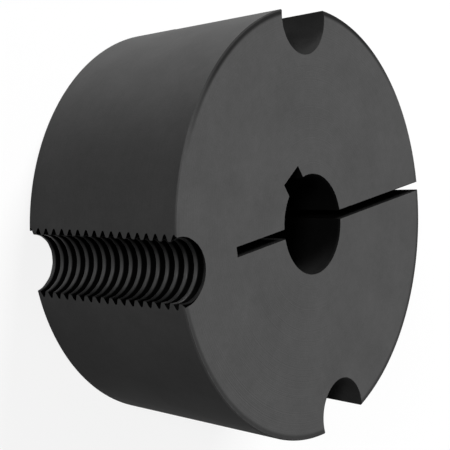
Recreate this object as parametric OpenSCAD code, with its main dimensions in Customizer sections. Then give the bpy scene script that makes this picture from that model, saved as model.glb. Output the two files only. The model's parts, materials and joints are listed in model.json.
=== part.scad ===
// Split taper bush that clamps a pulley or sprocket hub onto a shaft.
// The axis of the bore is Z. The bush stands on its small end at z = 0 and the large
// end faces up. The full split points along +X and the hinge slit along -X.

/* [Body] */
// Diameter of the large end, measured to the sharp corner
large_d = 69.85; // [60:0.05:90]
// Length along the bore
length = 31.75; // [26:0.25:50]
// Angle between the tapered side and the axis, in degrees
taper_angle = 4; // [2:0.5:6]
// Chamfer round the rim of each end
rim_chamfer = 0.2; // [0.1:0.05:1]

/* [Bore] */
// Diameter of the shaft bore, five eighths of an inch
bore_d = 15.875; // [12:0.125:24]
// Width of the keyway, three sixteenths of an inch
keyway_w = 4.76; // [3:0.01:8]
// Depth of the keyway, from the bore wall to the middle of its floor
keyway_depth = 2.02; // [1:0.02:4]
// Angle from the full split round to the middle of the keyway
keyway_angle = 118.5; // [100:0.5:140]

/* [Slits] */
// Width of the saw cut in both slits
slit_w = 1.4; // [1:0.1:3]
// Metal left between the floor of the hinge slit and the threaded half hole
hinge_wall = 7; // [4:0.25:10]

/* [Screw holes] */
// Outside diameter of the set screws, seven sixteenths of an inch
screw_d = 11.11; // [8:0.01:13]
// Room between a set screw and the wall of a plain half hole
screw_clearance = 0.4; // [0.2:0.05:0.8]
// Distance from the corner of the large end in to the centres of the screw holes
screw_inset = 1.58; // [0:0.01:3]
// Angle from the full split to the plain half hole on each side of it
plain_hole_angle = 84.5; // [70:0.5:90]
// Depth of the straight part of the plain half holes
plain_hole_depth = 22.2; // [15:0.1:23]
// Angle of the drill point at the bottom of the plain half holes
drill_point_angle = 118; // [90:1:140]

/* [Thread] */
// Pitch of the jacking thread, fourteen threads to the inch
thread_pitch = 1.814; // [1.25:0.001:2.5]
// Angle between the flanks of the thread
thread_angle = 55; // [50:1:60]
// Share of the full thread depth that the tapping drill leaves
thread_engagement = 0.8; // [0.6:0.05:1]

/* [Hidden] */

// How far each cutter runs past the surface that it leaves
cut_over = 1;
through_cut = length + 2 * cut_over;
round_fn = 144;
hole_fn = 72;

function side_r(z) = large_d / 2 - (length - z) * tan(taper_angle);

screw_circle_r = large_d / 2 - screw_inset;
screw_r = screw_d / 2;
plain_hole_r = screw_r + screw_clearance;
drill_point_h = plain_hole_r / tan(drill_point_angle / 2);

// The hinge slit and the threaded half hole share the side opposite the full split
hinge_angle = 180;
hinge_slit_reach = screw_circle_r - screw_r - hinge_wall;

// Whitworth proportions: a sixth of the sharp V is lost at the root and at the crest
thread_root_flat = thread_pitch / 6;
thread_full_depth = (thread_pitch - 2 * thread_root_flat) / (2 * tan(thread_angle / 2));
tap_drill_r = screw_r - thread_engagement * thread_full_depth;

// Each groove starts a little inside the drilled wall, clear of the next groove
groove_lip = 0.15 * thread_pitch;
groove_count = ceil(length / thread_pitch) + 2;

// Only about half of each turn is in the bush. Over that half turn a ring tilted by
// this much stays within a tenth of the pitch of the true right-hand helix.
groove_rise = 0.235 * thread_pitch;
groove_tilt = asin(groove_rise / (tap_drill_r + screw_r) * 2);

// Half the width of a thread groove at radius r from the axis of its hole
function groove_half_w(r) = thread_root_flat / 2 + (screw_r - r) * tan(thread_angle / 2);

// Turned outside of the bush, before any cut
module blank() {
    rotate_extrude($fn = round_fn)
        polygon([
            [0, 0],
            [side_r(0) - rim_chamfer, 0],
            [side_r(rim_chamfer), rim_chamfer],
            [side_r(length - rim_chamfer), length - rim_chamfer],
            [side_r(length) - rim_chamfer, length],
            [0, length]
        ]);
}

module shaft_bore() {
    translate([0, 0, -cut_over])
        cylinder(d = bore_d, h = through_cut, $fn = hole_fn);
}

// Straight slot from the axis out to a given reach, cut through both ends
module radial_slot(angle, width, reach) {
    rotate([0, 0, angle])
        translate([0, -width / 2, -cut_over])
            cube([reach, width, through_cut]);
}

module keyway() {
    radial_slot(keyway_angle, keyway_w, bore_d / 2 + keyway_depth);
}

module full_split() {
    radial_slot(0, slit_w, large_d / 2 + cut_over);
}

module hinge_slit() {
    radial_slot(hinge_angle, slit_w, hinge_slit_reach);
}

// Blind half hole, drilled from the large end, whose floor takes the push of a set screw
module plain_half_hole(angle) {
    rotate([0, 0, angle])
        translate([screw_circle_r, 0, length])
            rotate_extrude($fn = hole_fn)
                polygon([
                    [0, -plain_hole_depth - drill_point_h],
                    [plain_hole_r, -plain_hole_depth],
                    [plain_hole_r, cut_over],
                    [0, cut_over]
                ]);
}

// One turn of the thread groove, as a ring of V section about its own axis
module groove_ring() {
    lip_r = tap_drill_r - groove_lip;
    rotate_extrude($fn = hole_fn)
        polygon([
            [lip_r, -groove_half_w(lip_r)],
            [screw_r, -groove_half_w(screw_r)],
            [screw_r, groove_half_w(screw_r)],
            [lip_r, groove_half_w(lip_r)]
        ]);
}

// Half hole with the jacking thread, open at both ends. A crest meets the large end.
module threaded_half_hole() {
    rotate([0, 0, hinge_angle])
        translate([screw_circle_r, 0, 0])
            rotate([0, 0, 180]) {
                translate([0, 0, -cut_over])
                    cylinder(r = tap_drill_r, h = through_cut, $fn = hole_fn);
                for (turn = [0 : groove_count - 1])
                    translate([0, 0, length - (turn - 0.5) * thread_pitch])
                        rotate([groove_tilt, 0, 0])
                            groove_ring();
            }
}

module taper_bush() {
    color([0.32, 0.32, 0.33])
        difference() {
            blank();
            shaft_bore();
            keyway();
            full_split();
            hinge_slit();
            for (side = [-1, 1])
                plain_half_hole(side * plain_hole_angle);
            threaded_half_hole();
        }
}

taper_bush();
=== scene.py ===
import functools
import json
import math

import bmesh
import bpy
import numpy as np
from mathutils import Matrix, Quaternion, Vector


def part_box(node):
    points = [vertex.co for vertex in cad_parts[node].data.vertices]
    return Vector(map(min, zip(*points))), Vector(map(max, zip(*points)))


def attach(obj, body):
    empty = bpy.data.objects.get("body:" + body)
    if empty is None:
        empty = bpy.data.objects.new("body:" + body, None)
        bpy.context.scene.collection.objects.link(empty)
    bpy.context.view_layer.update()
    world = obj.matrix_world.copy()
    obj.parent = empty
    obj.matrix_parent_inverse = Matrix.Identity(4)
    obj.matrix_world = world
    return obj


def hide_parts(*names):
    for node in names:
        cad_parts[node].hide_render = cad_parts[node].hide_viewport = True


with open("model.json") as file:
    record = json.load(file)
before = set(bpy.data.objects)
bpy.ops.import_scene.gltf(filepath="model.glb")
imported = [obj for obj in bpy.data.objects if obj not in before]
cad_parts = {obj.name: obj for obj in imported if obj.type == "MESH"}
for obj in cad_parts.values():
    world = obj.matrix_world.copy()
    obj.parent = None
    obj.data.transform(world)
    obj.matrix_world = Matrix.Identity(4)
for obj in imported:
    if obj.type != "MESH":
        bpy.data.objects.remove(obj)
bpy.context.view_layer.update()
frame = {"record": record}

# A split taper bush of phosphated cast iron, standing on its small end. Lengths are in
# millimetres, unless a name or a comment says otherwise, and MM turns them into metres.
MM = 0.001
NODE = "taper_bush"
PIECE = "bush_casting"
BODY = "root"

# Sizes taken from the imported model
mounts = {mount["name"]: mount for mount in frame["record"]["mounts"]}
node_low, node_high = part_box(NODE)
LENGTH = (node_high.z - node_low.z) / MM
BORE_R = mounts["shaft_bore"]["dims"]["r_mm"]


def polar_place(mount_name):
    """Distance of a mount from the bore axis, and its angle round that axis."""
    x, y, _ = mounts[mount_name]["pos_m"]
    return math.hypot(x, y) / MM, math.atan2(y, x) % math.tau


KEYWAY_FLOOR, KEYWAY_ANGLE = polar_place("keyway")
HOLE_CIRCLE_R, LEFT_HOLE_ANGLE = polar_place("screw_half_hole_left")
_, RIGHT_HOLE_ANGLE = polar_place("screw_half_hole_right")
_, THREAD_ANGLE = polar_place("jacking_half_hole")

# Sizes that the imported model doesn't name, as the part's source has them
LARGE_R = 69.85 / 2
TAPER = math.radians(4)
RIM_CHAMFER = 0.2
KEYWAY_W = 4.76
SLIT_W = 1.4
HINGE_WALL = 7.0
SCREW_R = 11.11 / 2
SCREW_CLEARANCE = 0.4
PLAIN_DEPTH = 22.2
DRILL_POINT = math.radians(118)
PITCH = 1.814
FLANK = math.radians(55 / 2)
ENGAGEMENT = 0.8

PLAIN_R = SCREW_R + SCREW_CLEARANCE
ROOT_FLAT = PITCH / 6
THREAD_DEPTH = ENGAGEMENT * (PITCH - 2 * ROOT_FLAT) / (2 * math.tan(FLANK))
FLANK_W = THREAD_DEPTH * math.tan(FLANK)
HINGE_REACH = HOLE_CIRCLE_R - SCREW_R - HINGE_WALL
DRILL_POINT_H = PLAIN_R / math.tan(DRILL_POINT / 2)
DRILL_SHOULDER_Z = LENGTH - PLAIN_DEPTH

# Broken edges: at the mouths of the bore, at the ends of holes and slits, at the corners
# seen from above, and at the corners of the rim chamfers
BORE_CHAMFER = 0.25
END_BREAK = 0.1
CORNER_BREAK = 0.1
THREAD_CORNER_BREAK = 0.08
RIM_SOFTENING = 0.05

# A broken corner takes up at most this share of the width of its notch
MAX_BREAK_SHARE = 0.2

# How far the straight flanks of the thread ease into its roots and crests, 1 for an S curve
FLANK_EASING = 0.4

# How finely the surfaces are divided
ARC_STEP = math.radians(2)
BORE_ARC_STEP = 3 * ARC_STEP
FINE_ARC_STEPS = 2
HOLE_STEPS = 32
THREAD_STEPS = 64
STEPS_PER_PITCH = 14
BREAK_STEPS = 4
SOFTENING_STEPS = 3
DRILL_STEPS = 10
PLAIN_LEVEL_GAP = 5.0

# Up to this angle on both sides of the middle of the threaded half hole, every column of the
# outside has a point at every level
FINE_ZONE = math.radians(13)

# Levels closer to each other than this become one
SAME_LEVEL = 0.004

# Rounds that find where the thread meets the outside, and how high the drill point leaves it
THREAD_EDGE_ROUNDS = 6
DRILL_OUT_HALVINGS = 40

# Edges that bend less than this are shaded smooth, and points closer than this are welded
SHARP_ANGLE = math.radians(29)
WELD_DISTANCE_M = 2e-6

# Parts of the surface, in the order of the mesh's materials
TURNED, RIM, TAPPED, BORED, DRILLED = range(5)


def on_circle(angle):
    return np.array([math.cos(angle), math.sin(angle)])


def toward(start, end, distance):
    """The point at this distance from start, on the way to end."""
    return start + (end - start) / np.linalg.norm(end - start) * distance


def bezier(start, corner, end, steps):
    """Points strictly between start and end on the curve that the corner pulls out."""
    t = np.arange(1, steps)[:, None] / steps
    return (1 - t) ** 2 * start + 2 * t * (1 - t) * corner + t**2 * end


def side_r(z):
    """Radius of the tapered side at height z, as if both rims were sharp."""
    return LARGE_R - (LENGTH - z) * math.tan(TAPER)


def rim_profile():
    """Heights and radii of the turned outside, with a chamfer at each rim and soft corners."""
    reach = 2 * RIM_CHAMFER
    corners = np.array([
        (0, side_r(0) - reach),
        (0, side_r(0) - RIM_CHAMFER),
        (RIM_CHAMFER, side_r(RIM_CHAMFER)),
        (LENGTH - RIM_CHAMFER, side_r(LENGTH - RIM_CHAMFER)),
        (LENGTH, side_r(LENGTH) - RIM_CHAMFER),
        (LENGTH, side_r(LENGTH) - reach),
    ])
    profile = []
    for before, corner, after in zip(corners, corners[1:], corners[2:]):
        start, end = (toward(corner, other, RIM_SOFTENING) for other in (before, after))
        profile += [start, *bezier(start, corner, end, SOFTENING_STEPS), end]
    return np.array(profile)


RIM_PROFILE = rim_profile()


def outer_r(z):
    """Radius of the outside at height z, with its rim chamfers."""
    return float(np.interp(z, RIM_PROFILE[:, 0], RIM_PROFILE[:, 1]))


def end_inset(z):
    """How far holes and slits open out at height z, where their edges are rounded at the ends."""
    depth = END_BREAK - min(z, LENGTH - z)
    if depth <= 0:
        return 0.0
    return END_BREAK - math.sqrt(max(END_BREAK**2 - depth**2, 0.0))


def bore_r_at(z):
    """Radius of the bore at height z, with its chamfered mouths."""
    return BORE_R + max(BORE_CHAMFER - min(z, LENGTH - z), 0.0)


def plain_hole_r(z):
    """Radius of a plain half hole at height z, through its drill point, or 0 below it."""
    if z >= DRILL_SHOULDER_Z:
        return PLAIN_R + end_inset(z)
    return max(PLAIN_R * (1 - (DRILL_SHOULDER_Z - z) / DRILL_POINT_H), 0.0)


def thread_r(phi, z):
    """Radius of the tapped wall. phi runs clockwise from the side next to the bore."""
    from_root = z - (LENGTH - PITCH / 2) + PITCH * phi / math.tau
    from_root = np.abs((from_root + PITCH / 2) % PITCH - PITCH / 2)
    rise = np.clip((from_root - ROOT_FLAT / 2) / FLANK_W, 0, 1)
    eased = (1 - FLANK_EASING) * rise + FLANK_EASING * rise**2 * (3 - 2 * rise)
    return SCREW_R - THREAD_DEPTH * eased + end_inset(z)


def edge_phi(hole_r, rim_r):
    """Angle round a hole from its side next to the bore to where it meets the outside, or None
    where it lies inside."""
    if hole_r <= abs(HOLE_CIRCLE_R - rim_r):
        return None
    cosine = (HOLE_CIRCLE_R**2 + hole_r**2 - rim_r**2) / (2 * HOLE_CIRCLE_R * hole_r)
    return math.acos(cosine)


def hole_points(angle, phis, radii):
    """Points on the wall of the half hole at this angle round the bore."""
    out, along = on_circle(angle), on_circle(angle + math.pi / 2)
    phis, radii = np.asarray(phis)[:, None], np.broadcast_to(radii, len(phis))[:, None]
    return out * (HOLE_CIRCLE_R - radii * np.cos(phis)) + along * radii * np.sin(phis)


def plain_notch(angle, z, rim_r):
    """Wall of a plain half hole between its broken corners, both corners and their break.
    Below the drill point all of it is one point on the outside."""
    hole_r = plain_hole_r(z)
    phi = edge_phi(hole_r, rim_r)
    if phi is None:
        point = on_circle(angle) * rim_r
        return np.repeat(point[None], HOLE_STEPS + 1, 0), point, point, 0.0
    first, last = hole_points(angle, [-phi, phi], hole_r)
    cut = min(CORNER_BREAK, MAX_BREAK_SHARE * np.linalg.norm(last - first))
    phis = np.linspace(-phi + cut / hole_r, phi - cut / hole_r, HOLE_STEPS + 1)
    return hole_points(angle, phis, hole_r), first, last, cut


def thread_notch(z, rim_r):
    """Wall of the threaded half hole between its broken corners, and both corners."""
    ends = []
    for side in (-1, 1):
        phi = side * math.pi / 2
        for _ in range(THREAD_EDGE_ROUNDS):
            phi = side * edge_phi(float(thread_r(phi, z)), rim_r)
        ends.append(phi)
    ends = np.array(ends)
    first, last = hole_points(THREAD_ANGLE, ends, thread_r(ends, z))
    cut = THREAD_CORNER_BREAK / SCREW_R
    phis = np.linspace(ends[0] + cut, ends[1] - cut, THREAD_STEPS + 1)
    return hole_points(THREAD_ANGLE, phis, thread_r(phis, z)), first, last


def arc(radius, start, end, steps):
    angles = np.linspace(start, end, steps + 1)
    return radius * np.column_stack([np.cos(angles), np.sin(angles)])


def arc_steps(start, end, step=ARC_STEP):
    return max(1, round(abs(end - start) / step))


def angle_of(point):
    return math.atan2(point[1], point[0]) % math.tau


class Outline:
    """One closed section of the bush, built run by run, with its corners broken."""

    def __init__(self):
        self.points = []
        self.parts = []
        self.fine = []
        self.corner = None

    def add(self, points, part, fine):
        self.points += list(points)
        self.parts += [part] * len(points)
        self.fine += [fine] * len(points)

    def turn(self, end, part, fine=False):
        """Adds the broken corner that leads to the point end."""
        curve = bezier(self.points[-1], self.corner, end, BREAK_STEPS)
        self.add(curve, max(self.parts[-1], part), fine)
        self.corner = None

    def run(self, points, part, fine=False):
        """Adds a run of points, after the broken corner that leads to it."""
        points = np.atleast_2d(points)
        if self.corner is not None:
            self.turn(points[0], part, fine)
        self.add(points, part, fine)

    def close(self):
        self.turn(self.points[0], self.parts[0])


def add_outside(outline, z, slit_half):
    """Counter-clockwise round the outside, from the full split to the full split."""
    rim_r = outer_r(z)
    split_rim = math.asin(slit_half / rim_r)
    left, left_first, left_last, left_cut = plain_notch(LEFT_HOLE_ANGLE, z, rim_r)
    right, right_first, right_last, right_cut = plain_notch(RIGHT_HOLE_ANGLE, z, rim_r)
    thread, thread_first, thread_last = thread_notch(z, rim_r)

    start = split_rim + CORNER_BREAK / rim_r
    end = angle_of(left_first) - left_cut / rim_r
    outline.run(arc(rim_r, start, end, arc_steps(0, LEFT_HOLE_ANGLE)), TURNED)
    outline.corner = left_first
    outline.run(left, DRILLED)
    outline.corner = left_last

    start = angle_of(left_last) + left_cut / rim_r
    border = THREAD_ANGLE - FINE_ZONE
    end = angle_of(thread_first) - THREAD_CORNER_BREAK / rim_r
    steps = arc_steps(LEFT_HOLE_ANGLE, border)
    outline.run(arc(rim_r, start, border, steps)[:-1], TURNED)
    outline.run(arc(rim_r, border, end, FINE_ARC_STEPS), TURNED, fine=True)
    outline.corner = thread_first
    outline.run(thread, TAPPED, fine=True)
    outline.corner = thread_last

    start = angle_of(thread_last) + THREAD_CORNER_BREAK / rim_r
    border = THREAD_ANGLE + FINE_ZONE
    end = angle_of(right_first) - right_cut / rim_r
    outline.run(arc(rim_r, start, border, FINE_ARC_STEPS), TURNED, fine=True)
    outline.run(arc(rim_r, border, end, steps)[1:], TURNED)
    outline.corner = right_first
    outline.run(right, DRILLED)
    outline.corner = right_last

    start = angle_of(right_last) + right_cut / rim_r
    end = math.tau - split_rim - CORNER_BREAK / rim_r
    outline.run(arc(rim_r, start, end, arc_steps(RIGHT_HOLE_ANGLE, math.tau)), TURNED)
    outline.corner = np.array([math.sqrt(rim_r**2 - slit_half**2), -slit_half])


def add_slot(outline, angle, half_w, near_r, far_r):
    """Out along one wall of a blind slot, across its floor and back along the other."""
    along, across = on_circle(angle), on_circle(angle + math.pi / 2)
    root = math.sqrt(near_r**2 - half_w**2)
    corners = [
        along * root + across * half_w,
        along * far_r + across * half_w,
        along * far_r - across * half_w,
        along * root - across * half_w,
    ]
    for start, end in zip(corners, corners[1:]):
        outline.corner = start
        wall = [toward(start, end, CORNER_BREAK), toward(end, start, CORNER_BREAK)]
        outline.run(wall, BORED)
    outline.corner = corners[-1]


def add_inside(outline, z, slit_half):
    """In along the full split, clockwise round the bore with its two slots, and out again."""
    inset = end_inset(z)
    bore_r = bore_r_at(z)
    keyway_half = KEYWAY_W / 2 + inset
    bore_x, rim_x = (math.sqrt(r**2 - slit_half**2) for r in (bore_r, outer_r(z)))
    inner, outer = bore_x + CORNER_BREAK, rim_x - CORNER_BREAK
    outline.run([(outer, -slit_half), (inner, -slit_half)], BORED)
    outline.corner = np.array([bore_x, -slit_half])

    slit_bore = math.asin(slit_half / bore_r)
    keyway_bore = math.asin(keyway_half / bore_r)
    cut = CORNER_BREAK / bore_r
    arcs = [
        (math.tau - slit_bore, math.pi + slit_bore),
        (math.pi - slit_bore, KEYWAY_ANGLE + keyway_bore),
        (KEYWAY_ANGLE - keyway_bore, slit_bore),
    ]
    slots = [
        (math.pi, slit_half, bore_r, HINGE_REACH + inset),
        (KEYWAY_ANGLE, keyway_half, bore_r, KEYWAY_FLOOR + inset),
    ]
    for number, (start, end) in enumerate(arcs):
        steps = arc_steps(start, end, BORE_ARC_STEP)
        outline.run(arc(bore_r, start - cut, end + cut, steps), BORED)
        if number < len(slots):
            add_slot(outline, *slots[number])

    outline.corner = np.array([bore_x, slit_half])
    outline.run([(inner, slit_half), (outer, slit_half)], BORED)
    outline.corner = np.array([rim_x, slit_half])


def section(z):
    """The closed section of the bush at height z."""
    slit_half = SLIT_W / 2 + end_inset(z)
    outline = Outline()
    add_outside(outline, z, slit_half)
    add_inside(outline, z, slit_half)
    outline.close()
    return outline


def drill_out_z():
    """Height at which the drill point leaves the side of the bush."""
    low, high = DRILL_SHOULDER_Z - DRILL_POINT_H, DRILL_SHOULDER_Z
    for _ in range(DRILL_OUT_HALVINGS):
        middle = (low + high) / 2
        if edge_phi(plain_hole_r(middle), outer_r(middle)) is None:
            low = middle
        else:
            high = middle
    return high


def main_levels():
    """Heights at which every column of the walls has a point."""
    quarter = np.linspace(0, math.pi / 2, BREAK_STEPS + 1)
    end_levels = END_BREAK * (1 - np.cos(quarter))
    lowest = drill_out_z()
    spread = np.linspace(0, 1, DRILL_STEPS + 1) ** 2
    drill_levels = lowest + (DRILL_SHOULDER_Z - lowest) * spread
    top = LENGTH - RIM_CHAMFER - RIM_SOFTENING
    steps = math.ceil((top - DRILL_SHOULDER_Z) / PLAIN_LEVEL_GAP)
    plain_levels = np.linspace(DRILL_SHOULDER_Z, top, steps + 1)
    levels = np.concatenate([
        end_levels, LENGTH - end_levels, [BORE_CHAMFER, LENGTH - BORE_CHAMFER],
        RIM_PROFILE[:, 0], drill_levels, plain_levels,
    ])
    kept = []
    for level in np.sort(levels):
        if not kept or level - kept[-1] > SAME_LEVEL:
            kept.append(float(level))
    kept[-1] = LENGTH
    return kept


def all_levels(levels):
    """The main levels and those between them, close enough to draw the thread."""
    heights = []
    is_main = []
    for low, high in zip(levels, levels[1:]):
        steps = math.ceil((high - low) / (PITCH / STEPS_PER_PITCH))
        heights += list(np.linspace(low, high, steps + 1)[:-1])
        is_main += [True] + [False] * (steps - 1)
    return heights + [levels[-1]], is_main + [True]


def wall_face(index, fine, j, k, low, high):
    """Corners of the wall face between columns j and k, and between two levels. A fine column
    has a point at each level between them too."""
    between = range(low + 1, high)
    up = [index[n, k] for n in between] if fine[k] else []
    down = [index[n, j] for n in reversed(between)] if fine[j] else []
    return [index[low, j], index[low, k], *up, index[high, k], index[high, j], *down]


def bush_mesh():
    """The whole bush as one closed mesh."""
    levels, is_main = all_levels(main_levels())
    outlines = [section(z) for z in levels]
    fine, parts = outlines[0].fine, outlines[0].parts
    columns = range(len(fine))
    vertices = []
    index = {}
    for n, z in enumerate(levels):
        for j in columns:
            if is_main[n] or fine[j]:
                index[n, j] = len(vertices)
                x, y = outlines[n].points[j]
                vertices.append((x * MM, y * MM, z * MM))

    faces = []
    face_parts = []
    every_level = range(len(levels))
    main_only = [n for n in every_level if is_main[n]]
    for j in columns:
        k = (j + 1) % len(columns)
        steps = every_level if fine[j] and fine[k] else main_only
        for low, high in zip(steps, steps[1:]):
            faces.append(wall_face(index, fine, j, k, low, high))
            part = max(parts[j], parts[k])
            from_end = min(levels[high], LENGTH - levels[low])
            if part == TURNED and from_end < RIM_CHAMFER + RIM_SOFTENING / 2:
                part = RIM
            face_parts.append(part)
    faces.append([index[every_level[-1], j] for j in columns])
    faces.append([index[0, j] for j in reversed(columns)])
    face_parts += [TURNED, TURNED]

    mesh = bpy.data.meshes.new(PIECE)
    mesh.from_pydata(vertices, [], faces)
    mesh.polygons.foreach_set("material_index", face_parts)
    return mesh


def finish_mesh(mesh):
    """Welds the columns that meet, and marks the edges that stay sharp."""
    bm = bmesh.new()
    bm.from_mesh(mesh)
    bmesh.ops.remove_doubles(bm, verts=bm.verts, dist=WELD_DISTANCE_M)
    for face in bm.faces:
        face.smooth = True
    for edge in bm.edges:
        if len(edge.link_faces) == 2:
            tapped = all(face.material_index == TAPPED for face in edge.link_faces)
            edge.smooth = tapped or edge.calc_face_angle() < SHARP_ANGLE
    bm.to_mesh(mesh)
    bm.free()


class Nodes:
    """Short calls for building the nodes of a material or of the world."""

    def __init__(self, owner):
        owner.use_nodes = True
        self.nodes = owner.node_tree.nodes
        self.links = owner.node_tree.links

    def node(self, kind, inputs=(), **settings):
        """A new node. Each of its inputs is a plain value or the socket that feeds it."""
        node = self.nodes.new(kind)
        for key, value in settings.items():
            setattr(node, key, value)
        for socket, value in dict(inputs).items():
            if isinstance(value, bpy.types.NodeSocket):
                self.links.new(value, node.inputs[socket])
            else:
                node.inputs[socket].default_value = value
        return node

    def math(self, operation, first, second=0.0):
        node = self.node("ShaderNodeMath", {0: first, 1: second}, operation=operation)
        return node.outputs[0]

    def math_all(self, operation, values):
        """The operation on the first two values, then on its result and the third, and so on."""
        return functools.reduce(functools.partial(self.math, operation), values)

    def weighed_sum(self, *terms):
        """The sum of the terms, each of them a socket and its weight."""
        return self.math_all("ADD", [self.math("MULTIPLY", *term) for term in terms])

    def length(self, first, second):
        """Distance from zero of the point with these two coordinates."""
        squares = [self.math("MULTIPLY", side, side) for side in (first, second)]
        return self.math("SQRT", self.math("ADD", *squares))

    def axes(self, vector):
        return tuple(self.node("ShaderNodeSeparateXYZ", {0: vector}).outputs)

    def ramp(self, value, low, high, to_low, to_high):
        """to_low up to the value low, to_high from the value high, and even in between."""
        inputs = {"Value": value, 1: low, 2: high, 3: to_low, 4: to_high}
        return self.node("ShaderNodeMapRange", inputs).outputs["Result"]

    def noise(self, pattern, place, **settings):
        return self.node("ShaderNodeTexNoise", {**pattern, **place}, **settings).outputs["Fac"]

    def mix_shaders(self, share, first, second):
        """The first shader where the share is 0, and the second where it is 1."""
        inputs = {0: share, 1: first.outputs[0], 2: second.outputs[0]}
        return self.node("ShaderNodeMixShader", inputs)


# Noise of the coat, with its scales in waves to the metre
CLOUD = {"Scale": 140.0, "Detail": 3.0, "Roughness": 0.55}
BLOTCH = {"Scale": 700.0, "Detail": 2.0, "Roughness": 0.5}
GRAIN = {"Scale": 3600.0, "Detail": 3.0, "Roughness": 0.65}
MARKS = {"Scale": 5200.0, "Detail": 1.5, "Roughness": 0.6}

# How much each of them counts in the grey, and between which sums the grey varies
CLOUD_WEIGHT = 0.35
GRAIN_WEIGHT = 0.30
BLOTCH_WEIGHT = 0.20
MARKS_WEIGHT = 0.15
GREY_SUMS = (0.3, 0.7)

# How far the roughness varies, and between which sums of grain and blotches
ROUGHNESS_SPREAD = 0.06
ROUGHNESS_SUMS = (0.7, 1.3)

# The bump of the surface, and what grain adds to its height
BUMP_STRENGTH = 0.7
BUMP_DISTANCE = 0.03
GRAIN_HEIGHT = 0.5

# Faces whose normal has more than this along the bore belong to an end
END_FACING = 0.8

# Painted shade on the thread: it darkens into the roots, in shares of the thread's depth from the
# crests, at the mouth, in pitches below the large end, and towards both edges of the half hole, by
# the sine of the angle round it. Each SHARE is what stays of the grey and the sheen.
ROOT_DARKENS = (-0.02, 0.20)
ROOT_SHARE = 0.04
MOUTH_DARKENS = (0.6, 0.3)
MOUTH_SHARE = 0.2
EDGE_DARKENS = ((-0.75, -1.0), (-0.35, 0.40))
EDGE_SHARE = 0.3

# Painted shade in the plain half holes: they are darkest along the line nearest the bore, and
# lighten over these shares of their radius out from it
DRILL_LIGHTENS = (0.0, 0.5)
DRILL_SHARE = 0.35

# Painted shade on the rim chamfers: they darken towards the +Y side, between these sines of the
# angle round the bore
RIM_DARKENS = (0.45, 0.80)
RIM_SHARE = 0.35

# Painted shade: a band of the large end darkens between these distances in from the sharp corner
# of its rim. The share of the grey that it loses grows round the bore, from none at the first sine
# to the third number at the second.
BAND_DARKENS = (1.1, 0.65)
BAND_LOSSES = ((*RIM_DARKENS, 0.75), (0.30, -0.30, 0.45))


def thread_shade(tree, x, y, z):
    """Painted shade on the thread: 1 on its crests, less in the roots, at the mouth and towards
    both edges of the half hole, so that only the crests between stay light."""
    centre = on_circle(THREAD_ANGLE) * HOLE_CIRCLE_R * MM
    from_x = tree.math("SUBTRACT", x, centre[0])
    from_y = tree.math("SUBTRACT", y, centre[1])
    reach = tree.length(from_x, from_y)
    crest_r = SCREW_R - THREAD_DEPTH
    near, far = ((crest_r + share * THREAD_DEPTH) * MM for share in ROOT_DARKENS)
    in_root = tree.ramp(reach, near, far, 1.0, ROOT_SHARE)
    low, high = ((LENGTH - share * PITCH) * MM for share in MOUTH_DARKENS)
    at_mouth = tree.ramp(z, low, high, 1.0, MOUTH_SHARE)
    sine = tree.math("DIVIDE", from_y, reach)
    near_edges = [tree.ramp(sine, *span, 1.0, EDGE_SHARE) for span in EDGE_DARKENS]
    return tree.math_all("MULTIPLY", [in_root, at_mouth, *near_edges])


def drill_shade(tree, x, y, z):
    """Painted shade: 1 at the open sides of the plain half holes, less where their walls are
    nearest the bore.
    """
    nearest = HOLE_CIRCLE_R - PLAIN_R
    low, high = ((nearest + share * PLAIN_R) * MM for share in DRILL_LIGHTENS)
    return tree.ramp(tree.length(x, y), low, high, DRILL_SHARE, 1.0)


def rim_shade(tree, x, y, z):
    # Painted shade on the rim, darkest on the +Y side
    """1 round most of the rim, less on the +Y side, where the photograph's line is darkest."""
    sine = tree.math("DIVIDE", y, tree.length(x, y))
    return tree.ramp(sine, *RIM_DARKENS, 1.0, RIM_SHARE)


def face_shade(tree, x, y, z):
    """Painted shade: 1 on the turned faces, less on a narrow band of the large end next to its
    rim.
    """
    radius = tree.length(x, y)
    sine = tree.math("DIVIDE", y, radius)
    losses = [tree.ramp(sine, low, high, 0.0, loss) for low, high, loss in BAND_LOSSES]
    start, full = ((LARGE_R - inset) * MM for inset in BAND_DARKENS)
    in_band = tree.ramp(radius, start, full, 0.0, tree.math("MAXIMUM", *losses))
    on_large_end = tree.math("GREATER_THAN", z, (LENGTH - RIM_CHAMFER / 2) * MM)
    return tree.math("SUBTRACT", 1.0, tree.math("MULTIPLY", in_band, on_large_end))


def tool_marks(tree, x, y, z, normal):
    """Marks that run round the axis: rings on the ends, level lines on the walls."""
    _, _, facing = tree.axes(normal)
    on_end = tree.math("GREATER_THAN", tree.math("ABSOLUTE", facing), END_FACING)
    across = tree.node("ShaderNodeMix", {0: on_end, 2: z, 3: tree.length(x, y)}).outputs[0]
    return tree.noise(MARKS, {"W": across}, noise_dimensions="1D")


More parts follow.
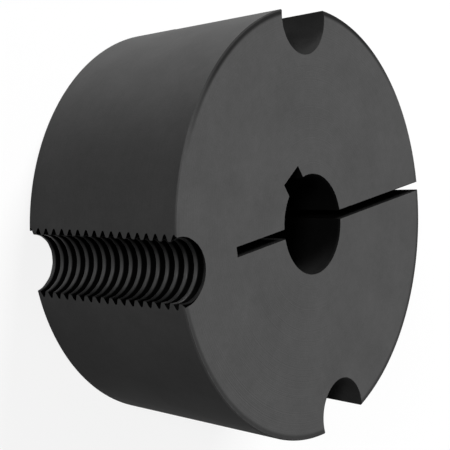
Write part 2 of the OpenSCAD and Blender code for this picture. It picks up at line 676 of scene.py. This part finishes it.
def phosphate(name, tone, spread, roughness, sheen, mark_height, shade=None, shades_sheen=False):
    """Dull phosphate coat on machined cast iron. tone is the mean grey and spread its variation.
    shade makes a socket from the place, and the grey is multiplied by it, which paints shade. If
    the last argument is set, the sheen is multiplied by it too, which paints shade on the sheen."""
    material = bpy.data.materials.new(name)
    tree = Nodes(material)
    surface = tree.nodes["Principled BSDF"].inputs
    coords = tree.node("ShaderNodeTexCoord").outputs
    place = coords["Object"]
    x, y, z = tree.axes(place)
    marks = tool_marks(tree, x, y, z, coords["Normal"])
    patterns = (CLOUD, GRAIN, BLOTCH)
    cloud, grain, blotch = (tree.noise(pattern, {"Vector": place}) for pattern in patterns)

    mixed = tree.weighed_sum((cloud, CLOUD_WEIGHT), (grain, GRAIN_WEIGHT),
                             (blotch, BLOTCH_WEIGHT), (marks, MARKS_WEIGHT))
    grey = tree.ramp(mixed, *GREY_SUMS, tone * (1 - spread), tone * (1 + spread))
    surface["Specular IOR Level"].default_value = sheen
    if shade is not None:
        share = shade(tree, x, y, z)
        grey = tree.math("MULTIPLY", grey, share)
        # The painted shade dims the sheen as well
        if shades_sheen:
            tree.links.new(tree.math("MULTIPLY", share, sheen), surface["Specular IOR Level"])
    colour = tree.node("ShaderNodeCombineColor", {0: grey, 1: grey, 2: grey}).outputs[0]
    tree.links.new(colour, surface["Base Color"])

    smoothest, roughest = roughness - ROUGHNESS_SPREAD, roughness + ROUGHNESS_SPREAD
    rough = tree.ramp(tree.math("ADD", grain, blotch), *ROUGHNESS_SUMS, smoothest, roughest)
    tree.links.new(rough, surface["Roughness"])

    bump = tree.node("ShaderNodeBump", {
        "Strength": BUMP_STRENGTH,
        "Distance": BUMP_DISTANCE * MM,
        "Height": tree.weighed_sum((grain, GRAIN_HEIGHT), (marks, mark_height)),
    })
    tree.links.new(bump.outputs["Normal"], surface["Normal"])
    return material


def make_materials():
    """One finish for each part of the surface, in the order of the parts."""
    return [
        phosphate("phosphate_turned", tone=0.076, spread=0.17, roughness=0.70,
                  sheen=0.012, mark_height=0.6, shade=face_shade),
        phosphate("phosphate_rim", tone=0.085, spread=0.15, roughness=0.80,
                  sheen=0.0, mark_height=0.3, shade=rim_shade),
        # Painted shade darkens the thread's grey and sheen outside its crests
        phosphate("phosphate_tapped", tone=0.090, spread=0.25, roughness=0.35,
                  sheen=0.18, mark_height=0.2, shade=thread_shade, shades_sheen=True),
        # Painted shade: the walls of the bore, keyway and slits are near black, for the shade
        # inside them
        phosphate("phosphate_bored", tone=0.006, spread=0.25, roughness=0.80,
                  sheen=0.0, mark_height=0.6),
        # Painted shade: the plain half holes have half the grey of the turned faces, for the shade
        # inside them
        phosphate("phosphate_drilled", tone=0.038, spread=0.25, roughness=0.80,
                  sheen=0.01, mark_height=0.6, shade=drill_shade),
    ]


def add_object(name, data):
    added = bpy.data.objects.new(name, data)
    bpy.context.scene.collection.objects.link(added)
    return added


def make_bush():
    mesh = bush_mesh()
    for material in make_materials():
        mesh.materials.append(material)
    finish_mesh(mesh)
    bush = add_object(PIECE, mesh)
    normals = bush.modifiers.new("even_normals", "WEIGHTED_NORMAL")
    normals.keep_sharp = True
    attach(bush, BODY)
    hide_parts(NODE)


# The floor shows as white, apart from this share of a pale grey one with its shadows. The
# light that it throws back on the bush is that of a darker floor.
FLOOR_HALF_SIZE_M = 3.0
FLOOR_SHADOW_SHARE = 0.15
FLOOR_GREY = 0.95
FLOOR_BOUNCE_GREY = 0.15

# Mean light of the room, and the share by which it is brighter on the +Y side, where the key
# lamp stands, and darker on the other
ROOM_LIGHT = 0.16
ROOM_LEAN = 0.85

# How far each lamp stands from the middle of the bush
LAMP_DISTANCE_M = 1.5


def grey_colour(level):
    return (level, level, level, 1)


def show_or_light(tree, shown, lighting, output):
    """Gives one shader to camera, glossy and transmission rays, and the other to the rays that
    carry light."""
    path = tree.node("ShaderNodeLightPath").outputs
    names = ("Is Camera Ray", "Is Glossy Ray", "Is Transmission Ray")
    directly = tree.math_all("MAXIMUM", [path[name] for name in names])
    mix = tree.mix_shaders(directly, lighting, shown)
    tree.links.new(mix.outputs[0], tree.nodes[output].inputs["Surface"])


def make_floor():
    mesh = bpy.data.meshes.new("floor")
    half = FLOOR_HALF_SIZE_M
    corners = [(-half, -half, 0), (half, -half, 0), (half, half, 0), (-half, half, 0)]
    mesh.from_pydata(corners, [], [(0, 1, 2, 3)])
    floor = add_object("floor", mesh)

    material = bpy.data.materials.new("floor_paper")
    tree = Nodes(material)
    tree.nodes.remove(tree.nodes["Principled BSDF"])
    white = tree.node("ShaderNodeEmission", {"Color": grey_colour(1)})
    shadowed = tree.node("ShaderNodeBsdfDiffuse", {"Color": grey_colour(FLOOR_GREY)})
    paper = tree.mix_shaders(FLOOR_SHADOW_SHARE, white, shadowed)
    bounce = tree.node("ShaderNodeBsdfDiffuse", {"Color": grey_colour(FLOOR_BOUNCE_GREY)})
    show_or_light(tree, shown=paper, lighting=bounce, output="Material Output")
    mesh.materials.append(material)


def make_world():
    world = bpy.data.worlds.new("studio")
    tree = Nodes(world)
    light = tree.nodes["Background"]
    light.inputs["Color"].default_value = grey_colour(1)
    _, y, _ = tree.axes(tree.node("ShaderNodeTexCoord").outputs["Generated"])
    darkest, brightest = (ROOM_LIGHT * (1 + side * ROOM_LEAN) for side in (-1, 1))
    tree.links.new(tree.ramp(y, -1.0, 1.0, darkest, brightest), light.inputs["Strength"])

    white = tree.node("ShaderNodeBackground", {"Color": grey_colour(1)})
    show_or_light(tree, shown=white, lighting=light, output="World Output")
    bpy.context.scene.world = world


def make_lamp(name, azimuth, elevation, size, power):
    """A square soft lamp that looks at the middle of the bush. Angles are in degrees, the size
    of its side in metres and its power in watts."""
    azimuth, elevation = math.radians(azimuth), math.radians(elevation)
    middle = Vector((0, 0, LENGTH / 2 * MM))
    direction = Vector((
        math.cos(azimuth) * math.cos(elevation),
        math.sin(azimuth) * math.cos(elevation),
        math.sin(elevation),
    ))
    data = bpy.data.lights.new(name, "AREA")
    data.shape = "SQUARE"
    data.size = size
    data.energy = power
    lamp = add_object(name, data)
    lamp.location = middle + direction * LAMP_DISTANCE_M
    lamp.rotation_euler = (-direction).to_track_quat("-Z", "Y").to_euler()


# The camera of the photograph. Its own up leans 91 degrees from upright, because the
# photograph shows the bush on its side.
CAMERA_PLACE = Vector((-171.78, 37.29, 148.42)) * MM
CAMERA_DIRECTION = Vector((0.7753, -0.1703, -0.6082))
CAMERA_ROLL = math.radians(91.14)
CAMERA_LENS = 103.89
CAMERA_SENSOR = 36.0
CAMERA_CLIP_START_M = 0.01


def make_camera():
    data = bpy.data.cameras.new("camera")
    data.lens = CAMERA_LENS
    data.sensor_width = CAMERA_SENSOR
    data.clip_start = CAMERA_CLIP_START_M
    camera = add_object("camera", data)
    upright = CAMERA_DIRECTION.to_track_quat("-Z", "Y")
    roll = Quaternion((0, 0, 1), CAMERA_ROLL)
    camera.rotation_euler = (upright @ roll).to_euler()
    camera.location = CAMERA_PLACE
    bpy.context.scene.camera = camera


make_camera()
make_world()
make_floor()
make_lamp("key", azimuth=60, elevation=22, size=0.7, power=46.0)
make_lamp("fill", azimuth=154, elevation=25, size=0.3, power=6.5)
make_lamp("rear", azimuth=300, elevation=20, size=0.7, power=6.5)
make_bush()
bpy.context.scene.view_settings.view_transform = "Standard"
